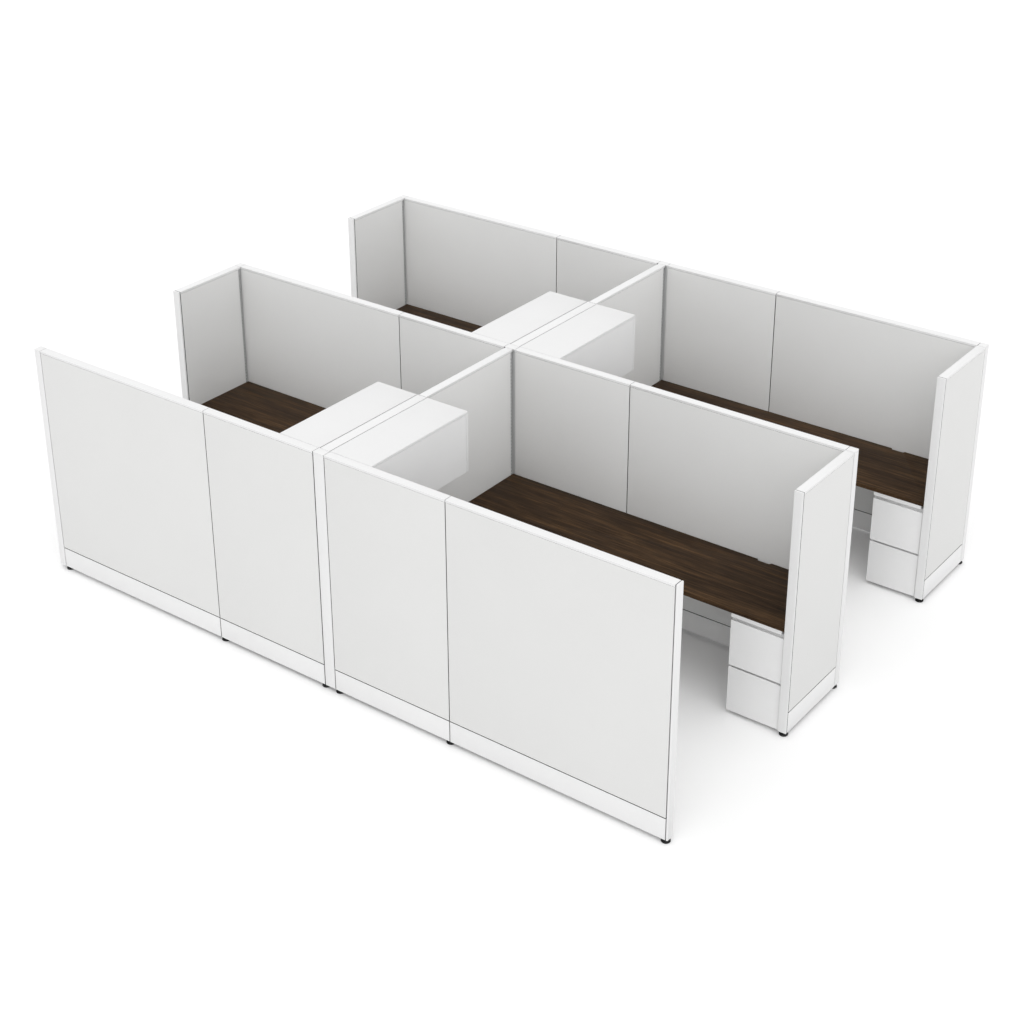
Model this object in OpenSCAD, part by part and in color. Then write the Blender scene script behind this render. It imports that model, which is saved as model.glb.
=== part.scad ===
// Cubicle workstation: a cluster of four desks between three long panel walls,
// crossed by a spine wall. Millimetres, +Z up, +X along the long walls.
// The origin is on the floor, where the middle wall crosses the spine.

/* [Walls] */
// Height of the walls above the floor
wall_h = 1680; // [1450:10:2000]
// Thickness of the long walls and of the wings
wall_t = 58; // [52:1:76]
// Width of the posts where the spine meets the long walls
post_w = 88; // [80:1:120]
// Thickness of the spine panels that carry the overhead cabinets
spine_near_t = 72; // [62:1:110]
// Width of the wall panels next to the spine
narrow_w = 914; // [762:1:1067]
// Width of the wall panels at the outer ends
wide_w = 1524; // [1219:1:1676]
// Width of each of the two spine panels in a bay
spine_panel_w = 914; // [762:1:1067]
// Width of the wing panels
wing_w = 610; // [560:1:762]
// Width of the set-back strip in a corner, where a spine panel or a wing meets a wall
connector_w = 24; // [15:1:40]
// Thickness of the trim that closes a free wall end
trim_t = 15; // [8:1:25]
// Thickness of the tiles and base covers on a wall frame
tile_t = 14; // [10:1:16]
// Height of the top caps
cap_h = 16; // [10:1:25]
// Gap between two tiles side by side, and between a tile and a post
reveal = 6; // [3:0.5:8]
// Gap between the walls and the floor
floor_gap = 28; // [22:1:40]
// Height of the base covers
base_h = 144; // [100:1:180]

/* [Worksurfaces] */
// Height of the worksurfaces above the floor
top_z = 750; // [700:5:780]
// Thickness of the worksurfaces
top_t = 28; // [19:1:32]
// Depth of the worksurface along a long wall
top_d = 606; // [560:1:620]
// Depth of the return worksurface along the spine
return_d = 610; // [450:1:700]
// Gap between a worksurface and the long wall behind it
top_gap = 6; // [4:1:20]
// Width of the cable notch in the rear edge
notch_w = 98; // [60:1:160]
// Depth of the cable notch in the rear edge
notch_d = 16; // [8:1:25]
// Distance from the right end of a worksurface's place to the middle of its cable notch
notch_place = 483; // [200:1:700]

/* [Overhead cabinets] */
// Depth of an overhead cabinet
overhead_d = 322; // [260:1:380]
// Height of an overhead cabinet
overhead_h = 416; // [330:1:460]
// Thickness of its top, shelf, ends and door
board_t = 18; // [15:1:22]
// Thickness of its back
back_t = 6; // [3:1:10]
// How far the door hangs below the shelf, as a grip
grip_drop = 14; // [8:1:25]

/* [Pedestals] */
// Width of a pedestal and of its drawer fronts
ped_w = 360; // [330:1:460]
// Gap between a pedestal and the wing beside it
ped_gap = 6; // [4:1:12]
// Gap between a pedestal and the floor
ped_floor_gap = 26; // [15:1:60]
// Height of the spacer between a pedestal and the worksurface
spacer_h = 26; // [15:1:40]
// How far the spacer stops short of the wing
spacer_short = 24; // [22:1:60]
// Gap above the upper drawer front
pull_gap = 24; // [18:1:30]
// Gap between the two drawer fronts
front_gap = 14; // [8:1:20]
// Thickness of a drawer front
front_t = 20; // [16:1:25]
// Thickness of a drawer front beside its finger recess
pull_skin = 5; // [3:1:8]
// Depth of the finger recess below a drawer front's top edge
pull_h = 26; // [20:1:35]
// Thickness of the pedestal and drawer sheet
sheet_t = 2; // [1:0.5:3]
// Space for a drawer slide on each side
slide_space = 13; // [12:0.5:16]
// Height of the sides of a drawer
drawer_h = 236; // [120:1:240]

/* [Hidden] */
// Worked out along the walls
half_post = post_w / 2;
half_near = spine_near_t / 2;
half_wall = wall_t / 2;
post_side = half_post - reveal / 2;
wall_run = narrow_w + wide_w;
wall_end_x = half_post + wall_run;
bay = 2 * spine_panel_w;
pitch = bay + wall_t;
joint_y = half_wall + spine_panel_w;
wall_rows = [-1, 0, 1];
bay_rows = [0, 1];
sides = [1, -1];

// Worked out up the walls
cap_gap = 1;
cap_wall = 2.5;
cap_seam = 3;
base_seam = 6;
base_top = floor_gap + base_h;
tile_low = base_top + base_seam;
cap_low = wall_h - cap_h;
tile_high = cap_low - cap_gap;
frame_high = wall_h - cap_wall;

// Small sizes of the frames, posts and corner strips
stile_w = 40;
rail_h = 30;
foot_bar_h = 12;
frame_wall = 2;
post_wall = 3;
post_setback = 8;
edge_cut = 1;
post_cut = 2;
strip_t = 6;
strip_gap = 1;
overrun = 1;

// Levelling glides under the walls
glide_inset = 14;
end_glide_inset = 13;
glide_r = 28;
glide_h = 18;
glide_rim = 3;
glide_neck_r = 18;
glide_socket = 10;
stem_r = 6;
stem_fit = 0.05;
stem_up = 45;

// Places of the worksurfaces
top_under = top_z - top_t;
top_side_gap = 4;
top_rear = half_wall + top_gap;
top_front = top_rear + top_d;
top_seam = 0.5;
top_corner = 3;
return_near_x = half_near + top_side_gap;
return_far_x = return_near_x + return_d;
return_far = pitch - half_wall - top_gap;
right_notch_x = wall_end_x - notch_place;
left_notch_x = half_wall + notch_place;

// Brackets that carry the worksurfaces
angle_t = 3;
angle_leg = 20;
angle_drop = 25;
angle_end = 30;
arm_t = 3;
arm_h = 190;
arm_tip_h = 30;
arm_end = 40;
arm_flange_w = 40;
plate_l = 180;
plate_w = 60;
plate_shares = [0.3, 0.8];

// Places in an overhead cabinet
overhead_gap = 6;
overhead_seam = 2;
overhead_x = half_near + overhead_gap;
overhead_front = overhead_x + overhead_d;
overhead_low = wall_h - overhead_h;
overhead_near = pitch - half_wall - overhead_seam;
overhead_far = pitch - half_wall - spine_panel_w + overhead_seam;
lid_under = wall_h - board_t;
door_gap = 1.5;
door_top = lid_under - door_gap;
pin_behind = 6;
pin_below = 12;
pivot_x = overhead_front - pin_behind;
pivot_z = door_top - pin_below;
pin_r = 2.5;
pin_fit = 0.05;
pin_seat = 9;
pin_reach = 12;
pin_end_gap = 1;
hanger_w = 60;
hanger_drop = 20;
hanger_tab_t = 1.2;

// Places in a pedestal
front_setback = 1;
front_y = top_front - front_setback;
case_seam = 1;
case_front_y = front_y - front_t - case_seam;
case_back_gap = 35;
case_back_y = half_wall + case_back_gap;
case_far_x = wall_end_x - ped_gap;
case_near_x = case_far_x - ped_w;
case_high = top_under - spacer_h;
front_h = (case_high - pull_gap - front_gap - ped_floor_gap) / 2;
spacer_d = 40;
rail_gap = 8;
foot_inset = 35;
foot_r = 15;
foot_neck_r = 5;
foot_neck_h = 6;

// Places in a drawer
box_lift = 16;
box_back_gap = 30;
box_w = ped_w - 2 * sheet_t - 2 * slide_space;
box_near_x = case_near_x + sheet_t + slide_space;
box_far_x = box_near_x + box_w;
box_front_y = front_y - front_t;
box_back_y = case_back_y + sheet_t + box_back_gap;
slide_lift = 90;
slide_h = 40;
slide_wall = 2;
slide_clear = 0.5;
slide_front_gap = 2;
slide_short = 20;

$fn = 48;

// Colours as the photograph shows them
tile_white = [0.90, 0.90, 0.895];
cap_white = [0.94, 0.94, 0.94];
cabinet_white = [0.92, 0.92, 0.92];
frame_grey = [0.24, 0.24, 0.24];
strip_grey = [0.74, 0.74, 0.74];
walnut = [0.23, 0.18, 0.14];
glide_black = [0.03, 0.03, 0.03];
zinc = [0.70, 0.71, 0.72];

// A box between two opposite corners
module block(low, high) {
    translate(low) cube(high - low);
}

// A rectangle with its four corners cut
module cut_square(low, high, cut) {
    polygon([
        [low.x + cut, low.y], [high.x - cut, low.y],
        [high.x, low.y + cut], [high.x, high.y - cut],
        [high.x - cut, high.y], [low.x + cut, high.y],
        [low.x, high.y - cut], [low.x, low.y + cut]
    ]);
}

// An upright board or bar, its four standing edges cut
module upright(low, high, cut) {
    translate([0, 0, low.z]) linear_extrude(high.z - low.z)
        cut_square([low.x, low.y], [high.x, high.y], cut);
}

// Lays an outline drawn in X and Z along Y, from y = 0 towards -Y
module along_y(length) {
    rotate([90, 0, 0]) linear_extrude(length) children();
}

// Lays an outline drawn in Y and Z along X, from x = 0 towards +X
module along_x(length) {
    rotate([90, 0, 90]) linear_extrude(length) children();
}

// Mirrors to the left half of the cluster where side is -1
module on_side(side) {
    mirror([side < 0 ? 1 : 0, 0, 0]) children();
}

// The six narrow panels, each drawn from x = 0 away from the spine
module at_narrow() {
    for (row = wall_rows, side = sides)
        on_side(side) translate([half_post, row * pitch, 0]) children();
}

// The wide panels of the walls in rows, outboard of the narrow ones
module at_wide(rows) {
    for (row = rows, side = sides)
        on_side(side) translate([half_post + narrow_w, row * pitch, 0]) children();
}

// The spine panels beside the wall in front of each bay
module at_spine_near() {
    for (row = bay_rows)
        translate([0, row * pitch - joint_y, 0]) rotate([0, 0, -90]) children();
}

// The spine panels beside the wall behind each bay
module at_spine_far() {
    for (row = bay_rows)
        translate([0, row * pitch - half_wall, 0]) rotate([0, 0, -90]) children();
}

// The four wing panels, each drawn from its wall towards its free end
module at_wing() {
    for (row = bay_rows, side = sides)
        on_side(side) translate([wall_end_x + half_wall, row * pitch - half_wall, 0])
            rotate([0, 0, -90]) children();
}

// One desk place: x runs out from the spine, and y = 0 is the wall behind it
module at_station(side, row) {
    translate([0, row * pitch, 0]) on_side(side) children();
}

// All four desk places
module at_stations() {
    for (row = bay_rows, side = sides) at_station(side, row) children();
}

// A channel of sheet whose open side faces +X
module stile(length_x, depth, low, high) {
    difference() {
        block([0, -depth / 2, low], [length_x, depth / 2, high]);
        block([frame_wall, frame_wall - depth / 2, low - overrun],
              [length_x + overrun, depth / 2 - frame_wall, high + overrun]);
    }
}

// A channel of sheet between two stiles, open downwards
module rail(from_x, to_x, depth, low) {
    difference() {
        block([from_x, -depth / 2, low], [to_x, depth / 2, low + rail_h]);
        block([from_x - overrun, frame_wall - depth / 2, low - overrun],
              [to_x + overrun, depth / 2 - frame_wall, low + rail_h - frame_wall]);
    }
}

// The steel frame inside one panel between its two ends, with a bored foot bar for the glides at feet
module panel_frame(ends, thick, feet) {
    depth = thick - 2 * tile_t;
    bar_high = floor_gap + foot_bar_h;
    translate([ends[0], 0, 0]) stile(stile_w, depth, bar_high, frame_high);
    translate([ends[1], 0, 0]) mirror([1, 0, 0]) stile(stile_w, depth, bar_high, frame_high);
    for (low = [base_top, top_z - rail_h, frame_high - rail_h])
        rail(ends[0] + stile_w, ends[1] - stile_w, depth, low);
    difference() {
        block([ends[0], -depth / 2, floor_gap], [ends[1], depth / 2, bar_high]);
        for (x = feet) translate([x, 0, floor_gap - overrun])
            cylinder(r = stem_r + stem_fit, h = foot_bar_h + 2 * overrun);
    }
}

// The two tiles of one panel, which start at starts[0] on its +Y face and at starts[1] on the other
module panel_tiles(width, thick, starts) {
    for (face = [0, 1]) mirror([0, face, 0])
        upright([starts[face] + reveal / 2, thick / 2 - tile_t, tile_low],
                [width - reveal / 2, thick / 2, tile_high], edge_cut);
}

// The two base covers of one panel, placed like its tiles
module panel_base_covers(width, thick, starts) {
    for (face = [0, 1]) mirror([0, face, 0])
        upright([starts[face] + reveal / 2, thick / 2 - tile_t, floor_gap],
                [width - reveal / 2, thick / 2, base_top], edge_cut);
}

// The top cap of one panel from its start, a channel that sits over the frame
module panel_cap(start, width, thick) {
    half = thick / 2;
    translate([start + cap_seam / 2, 0, 0]) along_x(width - start - cap_seam) polygon([
        [-half, cap_low], [cap_wall - half, cap_low],
        [cap_wall - half, frame_high], [half - cap_wall, frame_high],
        [half - cap_wall, cap_low], [half, cap_low],
        [half, wall_h - edge_cut], [half - edge_cut, wall_h],
        [edge_cut - half, wall_h], [-half, wall_h - edge_cut]
    ]);
}

// A hollow post under its cap; the frames beside it reach in to its faces
module post(low, high) {
    translate([0, 0, floor_gap]) linear_extrude(cap_low - cap_gap - floor_gap) difference() {
        cut_square(low, high, post_cut);
        translate(low + [post_wall, post_wall]) square(high - low - 2 * [post_wall, post_wall]);
    }
}

module wide_frames() {
    color(frame_grey) {
        at_wide([-1]) panel_frame([0, wide_w + reveal / 2], wall_t, [wide_w - end_glide_inset]);
        at_wide(bay_rows) panel_frame([0, wide_w + reveal / 2], wall_t, []);
    }
}

module narrow_frames() {
    color(frame_grey) at_narrow()
        panel_frame([-reveal / 2, narrow_w], wall_t, [glide_inset, narrow_w - glide_inset]);
}

module spine_frames() {
    color(frame_grey) {
        at_spine_near() panel_frame([0, spine_panel_w], spine_near_t, [glide_inset]);
        at_spine_far() panel_frame([-post_setback, spine_panel_w], wall_t, []);
    }
}

module wing_frames() {
    color(frame_grey) at_wing()
        panel_frame([-reveal / 2, wing_w + reveal / 2], wall_t, [wing_w - glide_inset]);
}

module wide_tiles() {
    color(tile_white) at_wide(wall_rows) panel_tiles(wide_w, wall_t, [0, 0]);
}

module narrow_tiles() {
    color(tile_white) at_narrow() panel_tiles(narrow_w, wall_t, [0, 0]);
}

module spine_tiles() {
    color(tile_white) {
        at_spine_near() panel_tiles(spine_panel_w, spine_near_t, [0, 0]);
        at_spine_far() panel_tiles(spine_panel_w, wall_t, connector_w * [1, 1]);
    }
}

module wing_tiles() {
    color(tile_white) at_wing() panel_tiles(wing_w, wall_t, connector_w * [0, 1]);
}

module wide_base_covers() {
    color(cap_white) at_wide(wall_rows) panel_base_covers(wide_w, wall_t, [0, 0]);
}

module narrow_base_covers() {
    color(cap_white) at_narrow() panel_base_covers(narrow_w, wall_t, [0, 0]);
}

module spine_base_covers() {
    color(cap_white) {
        at_spine_near() panel_base_covers(spine_panel_w, spine_near_t, [0, 0]);
        at_spine_far() panel_base_covers(spine_panel_w, wall_t, connector_w * [1, 1]);
    }
}

module wing_base_covers() {
    color(cap_white) at_wing() panel_base_covers(wing_w, wall_t, connector_w * [0, 1]);
}

module wide_top_caps() {
    color(cap_white) at_wide(wall_rows) panel_cap(0, wide_w, wall_t);
}

module narrow_top_caps() {
    color(cap_white) at_narrow() panel_cap(0, narrow_w, wall_t);
}

module spine_top_caps() {
    color(cap_white) {
        at_spine_near() panel_cap(0, spine_panel_w, spine_near_t);
        at_spine_far() panel_cap(cap_seam / 2, spine_panel_w, wall_t);
    }
}

module wing_top_caps() {
    color(cap_white) at_wing() panel_cap(cap_seam / 2, wing_w, wall_t);
}

// The posts where the spine meets the long walls, set back where a spine panel meets them
module spine_posts() {
    color(cap_white) {
        translate([0, -pitch, 0]) post([-post_side, -half_wall], [post_side, half_wall]);
        for (row = bay_rows) translate([0, row * pitch, 0])
            post([-post_side, post_setback - half_wall], [post_side, half_wall]);
    }
}

// The square posts at the wing corners and at the left end of the front wall
module corner_posts() {
    low = [wall_end_x + reveal / 2, reveal / 2 - half_wall];
    high = [wall_end_x + wall_t, half_wall];
    color(cap_white) {
        at_stations() {
            post(low, high);
            post_foot(low, high);
        }
        at_station(-1, -1) post([low.x, -half_wall], high);
    }
}

// The bored plate at the bottom of a post that stands on a glide
module post_foot(low, high) {
    middle = (low + high) / 2;
    translate([0, 0, floor_gap]) linear_extrude(foot_bar_h) difference() {
        translate(low + [post_cut, post_cut]) square(high - low - 2 * [post_cut, post_cut]);
        translate(middle) circle(r = stem_r + stem_fit);
    }
}

// The set-back strips in the corners, on the spine's and the wings' frames
module corner_strips() {
    color(strip_grey) {
        at_wing() corner_strip(wall_t);
        at_spine_far() {
            corner_strip(wall_t);
            mirror([0, 1, 0]) corner_strip(wall_t);
        }
    }
}

// One strip on the -Y face of a frame, beside the wall that its panel meets
module corner_strip(thick) {
    face_y = tile_t - thick / 2;
    block([0, face_y - strip_t, floor_gap], [connector_w - strip_gap, face_y, tile_high]);
}

// The plate of a post's cap, level with the walls' caps
module cap_plate(low, high) {
    translate([0, 0, frame_high]) linear_extrude(cap_wall) cut_square(low, high, edge_cut);
}

// The plug between a cap's plate and the top of the post, as wide as the post
module cap_plug(low, high) {
    plug_low = cap_low - cap_gap;
    translate([0, 0, plug_low]) linear_extrude(frame_high - plug_low) cut_square(low, high, post_cut);
}

module post_caps() {
    color(cap_white) {
        translate([0, -pitch, 0]) spine_cap(0);
        for (row = bay_rows) translate([0, row * pitch, 0]) spine_cap(post_setback);
        at_stations() corner_cap(reveal / 2);
        at_station(-1, -1) corner_cap(0);
    }
}

// The cap over a post between the spine and a long wall, its plug set back like the post
module spine_cap(setback) {
    plate_side = half_post - cap_seam / 2;
    cap_plate([-plate_side, -half_wall], [plate_side, half_wall]);
    cap_plug([-post_side, setback - half_wall], [post_side, half_wall]);
}

// The cap over a post at the end of a long wall
module corner_cap(setback) {
    high = [wall_end_x + wall_t, half_wall];
    cap_plate([wall_end_x + cap_seam / 2, -half_wall], high);
    cap_plug([wall_end_x + reveal / 2, setback - half_wall], high);
}

// The flat trims over the free ends of the wings and of the front wall
module end_trims() {
    color(cap_white) {
        at_wing() end_trim(wing_w);
        at_station(1, -1) end_trim(wall_end_x);
    }
}

// A trim that closes the panel whose end is at x = end
module end_trim(end) {
    upright([end + reveal / 2, -half_wall, floor_gap], [end + trim_t, half_wall, wall_h], post_cut);
}

// Every levelling glide, drawn at the middle of its foot
module at_glides() {
    at_wide([-1]) translate([wide_w - end_glide_inset, 0, 0]) children();
    at_narrow() for (x = [glide_inset, narrow_w - glide_inset]) translate([x, 0, 0]) children();
    at_spine_near() translate([glide_inset, 0, 0]) children();
    at_wing() translate([wing_w - glide_inset, 0, 0]) children();
    at_stations() translate([wall_end_x + wall_t / 2 + reveal / 4, reveal / 4, 0]) children();
}

module glide_feet() {
    color(glide_black) at_glides() rotate_extrude() polygon([
        [0, 0], [glide_r - glide_rim, 0], [glide_r, glide_rim],
        [glide_r, glide_h - 2 * glide_rim], [glide_neck_r, glide_h],
        [stem_r + stem_fit, glide_h], [stem_r + stem_fit, glide_h - glide_socket],
        [0, glide_h - glide_socket]
    ]);
}

module glide_stems() {
    color(zinc) at_glides() translate([0, 0, glide_h - glide_socket])
        cylinder(r = stem_r, h = floor_gap + stem_up - glide_h + glide_socket);
}

// The outline of a long worksurface, with its cable notch at notch_x
module main_outline(notch_x) {
    difference() {
        cut_square([half_wall + top_side_gap, -top_front],
                   [wall_end_x - top_side_gap, -top_rear], top_corner);
        translate([notch_x, -top_rear]) {
            square([notch_w - 2 * notch_d, 2 * notch_d], center = true);
            for (side = sides) translate([side * (notch_w / 2 - notch_d), 0]) circle(r = notch_d);
        }
    }
}

// The same worksurface in all four places, so its notch is towards the spine on the left
module main_worksurfaces() {
    color(walnut) for (row = bay_rows, side = sides) at_station(side, row)
        translate([0, 0, top_under]) linear_extrude(top_t)
            main_outline(side < 0 ? left_notch_x : right_notch_x);
}

module return_worksurfaces() {
    color(walnut) at_stations() translate([0, 0, top_under]) linear_extrude(top_t)
        cut_square([return_near_x, -return_far], [return_far_x, -top_front - top_seam], top_corner);
}

// A cantilever arm from a seam in a wall, drawn along -Y from the wall's face at y = 0
module support_arm(reach) {
    translate([-arm_t / 2, 0, 0]) along_x(arm_t) polygon([
        [tile_t, top_under - arm_h], [tile_t, top_under - angle_t],
        [-reach, top_under - angle_t], [-reach, top_under - arm_tip_h], [0, top_under - arm_h]
    ]);
    block([-arm_flange_w / 2, -reach, top_under - angle_t],
          [arm_flange_w / 2, -top_gap, top_under]);
}

// The arms at the panel seams behind and beside each worksurface
module support_arms() {
    color(zinc) at_stations() {
        translate([half_post + narrow_w, -half_wall, 0])
            support_arm(top_gap + top_d - arm_end);
        translate([half_near, -joint_y, 0]) rotate([0, 0, 90])
            support_arm(top_side_gap + return_d - arm_end);
    }
}

// A steel angle along +X, its upright leg against y = 0 and its flat leg towards -Y
module support_angle(length) {
    along_x(length) polygon([
        [0, top_under - angle_drop], [0, top_under], [-angle_leg, top_under],
        [-angle_leg, top_under - angle_t], [-angle_t, top_under - angle_t],
        [-angle_t, top_under - angle_drop]
    ]);
}

// The angles on the wing, on the spine and on the wall in front
module support_angles() {
    main_length = top_d - 2 * angle_end;
    return_length = return_d - 2 * angle_end;
    color(zinc) at_stations() {
        translate([wall_end_x, -top_rear - angle_end, 0]) rotate([0, 0, -90])
            support_angle(main_length);
        translate([half_wall, -top_front + angle_end, 0]) rotate([0, 0, 90])
            support_angle(main_length);
        translate([return_far_x - angle_end, half_wall - pitch, 0]) rotate([0, 0, 180])
            support_angle(return_length);
    }
}

// The flat plates under the joint between a long worksurface and its return
module joining_plates() {
    span = return_d - 2 * angle_leg;
    color(zinc) at_stations() for (share = plate_shares) {
        middle_x = return_near_x + angle_leg + span * share;
        block([middle_x - plate_w / 2, -top_front - plate_l / 2, top_under - angle_t],
              [middle_x + plate_w / 2, -top_front + plate_l / 2, top_under]);
    }
}

module overhead_lids() {
    color(cabinet_white) at_stations()
        block([overhead_x, -overhead_near, lid_under], [overhead_front, -overhead_far, wall_h]);
}

module overhead_shelves() {
    low = overhead_low + grip_drop;
    color(cabinet_white) at_stations()
        block([overhead_x + back_t, board_t - overhead_near, low],
              [overhead_front - board_t - door_gap, -overhead_far - board_t, low + board_t]);
}

module overhead_ends() {
    color(cabinet_white) at_stations() difference() {
        union() {
            block([overhead_x, -overhead_near, overhead_low],
                  [overhead_front, board_t - overhead_near, lid_under]);
            block([overhead_x, -overhead_far - board_t, overhead_low],
                  [overhead_front, -overhead_far, lid_under]);
        }
        translate([pivot_x, board_t - overhead_near + overrun, pivot_z])
            along_y(pin_seat + overrun) circle(r = pin_r + pin_fit);
        translate([pivot_x, pin_seat - overhead_far - board_t, pivot_z])
            along_y(pin_seat + overrun) circle(r = pin_r + pin_fit);
    }
}

module overhead_backs() {
    color(cabinet_white) at_stations()
        block([overhead_x, board_t - overhead_near, overhead_low],
              [overhead_x + back_t, -overhead_far - board_t, lid_under]);
}

// The flat bars behind an overhead cabinet, each with a tab in the seam beside it
module overhead_hangers() {
    color(zinc) at_stations() {
        hanger(-joint_y, -joint_y - hanger_w);
        hanger(half_wall - pitch + reveal / 4, half_wall - pitch + hanger_w);
    }
}

// One bar on the spine's face, from its tab at tab_y to its far edge at bar_y
module hanger(tab_y, bar_y) {
    low = overhead_low + hanger_drop;
    high = wall_h - hanger_drop;
    near_y = min(tab_y - hanger_tab_t / 2, bar_y);
    far_y = max(tab_y + hanger_tab_t / 2, bar_y);
    block([half_near, near_y, low], [overhead_x, far_y, high]);
    block([half_near - tile_t, tab_y - hanger_tab_t / 2, low],
          [half_near, tab_y + hanger_tab_t / 2, high]);
}

// The pins that the overhead doors turn on
module door_pins() {
    length = pin_seat + door_gap + pin_reach;
    color(zinc) at_stations() {
        translate([pivot_x, board_t - overhead_near + door_gap + pin_reach, pivot_z])
            along_y(length) circle(r = pin_r);
        translate([pivot_x, pin_seat - overhead_far - board_t, pivot_z])
            along_y(length) circle(r = pin_r);
    }
}

// An overhead door, whose pins are near its front and top so that it clears the lid as it turns
module door() {
    width = overhead_near - overhead_far - 2 * board_t - 2 * door_gap;
    near_y = board_t - overhead_near + door_gap;
    socket = pin_reach + pin_end_gap;
    rear_x = overhead_front - board_t;
    color(cabinet_white) difference() {
        translate([0, near_y + width, 0]) along_y(width) polygon([
            [rear_x, overhead_low], [overhead_front, overhead_low],
            [overhead_front, door_top - edge_cut], [overhead_front - edge_cut, door_top],
            [rear_x, door_top]
        ]);
        for (y = [near_y + socket, near_y + width + overrun])
            translate([pivot_x, y, pivot_z]) along_y(socket + overrun) circle(r = pin_r + pin_fit);
    }
}

module pedestal_sides() {
    color(cabinet_white) at_stations() for (x = [case_near_x, case_far_x - sheet_t])
        block([x, -case_front_y, ped_floor_gap], [x + sheet_t, -case_back_y, case_high]);
}

module pedestal_backs() {
    color(cabinet_white) at_stations()
        block([case_near_x + sheet_t, -case_back_y - sheet_t, ped_floor_gap],
              [case_far_x - sheet_t, -case_back_y, case_high]);
}

// The top and bottom pans of a pedestal, and the rails across its front above the drawers
module pedestal_pans() {
    rail_highs = [box_low(1) - rail_gap, case_high - 2 * sheet_t];
    color(cabinet_white) at_stations() {
        for (z = [ped_floor_gap, case_high - sheet_t])
            block([case_near_x + sheet_t, -case_front_y, z],
                  [case_far_x - sheet_t, -case_back_y - sheet_t, z + sheet_t]);
        for (level = [0, 1])
            block([case_near_x + sheet_t, -case_front_y, box_low(level) + drawer_h + rail_gap],
                  [case_far_x - sheet_t, sheet_t - case_front_y, rail_highs[level]]);
    }
}

// The front and rear spacers between a pedestal and the worksurface
module pedestal_spacers() {
    far_x = wall_end_x - spacer_short;
    color(cabinet_white) at_stations()
        for (y = [-front_y, -case_back_y - spacer_d])
            block([case_near_x, y, case_high], [far_x, y + spacer_d, top_under]);
}

module pedestal_feet() {
    color(glide_black) at_stations()
        for (x = [case_near_x + foot_inset, case_far_x - foot_inset],
             y = [-case_front_y + foot_inset, -case_back_y - foot_inset])
            translate([x, y, 0]) {
                cylinder(r = foot_r, h = ped_floor_gap - foot_neck_h);
                cylinder(r = foot_neck_r, h = ped_floor_gap);
            }
}

// The heights of a drawer front's and of a drawer's lower edge, for the lower drawer 0 and the upper 1
function front_low(level) = ped_floor_gap + level * (front_h + front_gap);
function box_low(level) = front_low(level) + box_lift;

// The channels on the pedestal's sides that the drawers run in
module drawer_channels() {
    color(zinc) at_stations() for (level = [0, 1]) {
        low = box_low(level) + slide_lift;
        channel(case_near_x + sheet_t, low, 1);
        channel(case_far_x - sheet_t, low, -1);
    }
}

// One channel from the face at x, open towards side
module channel(x, low, side) {
    deep = slide_space - slide_clear;
    length = case_front_y - case_back_y - sheet_t - slide_front_gap;
    translate([x, -case_back_y - sheet_t, low]) on_side(side) along_y(length) polygon([
        [0, 0], [deep, 0], [deep, slide_wall], [slide_wall, slide_wall],
        [slide_wall, slide_h - slide_wall], [deep, slide_h - slide_wall], [deep, slide_h], [0, slide_h]
    ]);
}

// A drawer of sheet, with the bar on each side that runs in a channel
module drawer_box(level) {
    low = box_low(level);
    high = low + drawer_h;
    bar_low = low + slide_lift + slide_wall + slide_clear;
    bar_high = low + slide_lift + slide_h - slide_wall - slide_clear;
    bar_deep = slide_space - slide_wall - slide_clear;
    color(zinc) {
        block([box_near_x, -box_front_y, low], [box_far_x, -box_back_y, low + sheet_t]);
        for (x = [box_near_x, box_far_x - sheet_t])
            block([x, -box_front_y, low + sheet_t], [x + sheet_t, -box_back_y, high]);
        block([box_near_x + sheet_t, -box_back_y - sheet_t, low + sheet_t],
              [box_far_x - sheet_t, -box_back_y, high]);
        for (x = [box_near_x - bar_deep, box_far_x])
            block([x, -box_front_y + slide_front_gap, bar_low],
                  [x + bar_deep, -box_back_y - slide_short, bar_high]);
    }
}

// A drawer front, with a finger recess behind its top edge
module drawer_front(level) {
    low = front_low(level);
    high = low + front_h;
    outer = -front_y;
    inner = -box_front_y;
    color(cabinet_white) translate([case_near_x, 0, 0]) along_x(ped_w) polygon([
        [outer, low + edge_cut], [outer, high - edge_cut], [outer + edge_cut, high],
        [outer + pull_skin, high], [outer + pull_skin, high - pull_h],
        [inner, high - pull_h], [inner, low], [outer + edge_cut, low]
    ]);
}

wide_frames();
narrow_frames();
spine_frames();
wing_frames();
wide_tiles();
narrow_tiles();
spine_tiles();
wing_tiles();
wide_base_covers();
narrow_base_covers();
spine_base_covers();
wing_base_covers();
wide_top_caps();
narrow_top_caps();
spine_top_caps();
wing_top_caps();
spine_posts();
corner_posts();
corner_strips();
post_caps();
end_trims();
glide_feet();
glide_stems();
main_worksurfaces();
return_worksurfaces();
support_arms();
support_angles();
joining_plates();
overhead_lids();
overhead_shelves();
overhead_ends();
overhead_backs();
overhead_hangers();
door_pins();
pedestal_sides();
pedestal_backs();
pedestal_pans();
pedestal_spacers();
pedestal_feet();
drawer_channels();
at_station(1, 0) door();  // front_right_door
at_station(-1, 0) door();  // front_left_door
at_station(1, 1) door();  // back_right_door
at_station(-1, 1) door();  // back_left_door
at_station(1, 0) drawer_box(1);  // front_right_upper_box
at_station(1, 0) drawer_box(0);  // front_right_lower_box
at_station(-1, 0) drawer_box(1);  // front_left_upper_box
at_station(-1, 0) drawer_box(0);  // front_left_lower_box
at_station(1, 1) drawer_box(1);  // back_right_upper_box
at_station(1, 1) drawer_box(0);  // back_right_lower_box
at_station(-1, 1) drawer_box(1);  // back_left_upper_box
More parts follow.
